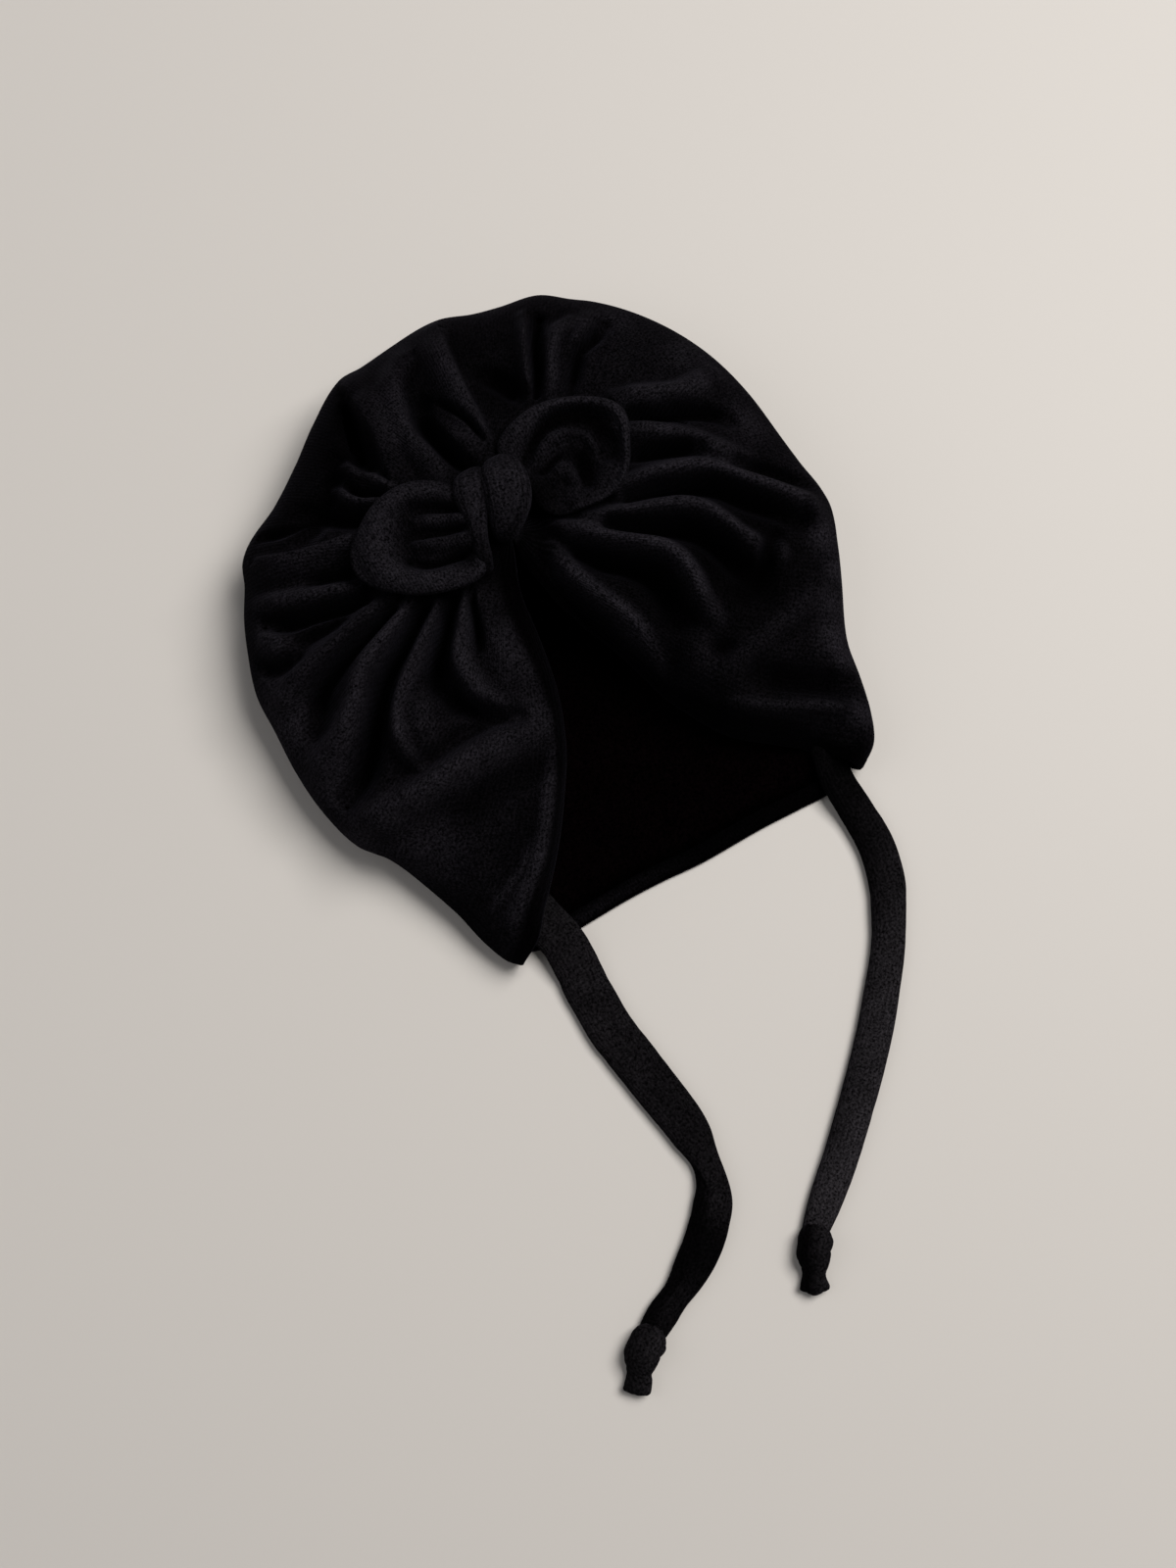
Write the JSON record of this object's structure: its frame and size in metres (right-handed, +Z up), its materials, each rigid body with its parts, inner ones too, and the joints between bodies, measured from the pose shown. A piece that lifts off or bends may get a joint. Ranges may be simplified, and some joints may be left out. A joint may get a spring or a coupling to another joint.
{
  "type": "baby turban bonnet",
  "caption": "Soft velour baby bonnet gathered to a tied bow at the front, with an open face and two knotted ties, lying on its back.",
  "frame": {"origin": "on the flat underside, where the back of the bonnet lies on the table, near the middle of the hood", "axes": "+Y from the nape hem to the top of the hood, +X to the wearer's side that the right tie is on in this view, +Z up from the table through the bow"},
  "size_m": [0.1956, 0.3125, 0.0601],
  "materials": {
    "velour": "short-pile black velour, matt with a soft cool sheen on the folds",
    "tie_velour": "the same black velour sewn into narrow tubes"
  },
  "bodies": {
    "root": {"crown": "velour", "bow_leaf_left": "velour", "bow_leaf_right": "velour", "knot_wrap": "velour", "knot_tuck": "velour", "tie_left": "tie_velour", "tie_right": "tie_velour", "tie_knot_left": "tie_velour", "tie_knot_right": "tie_velour"}
  },
  "joints": []
}
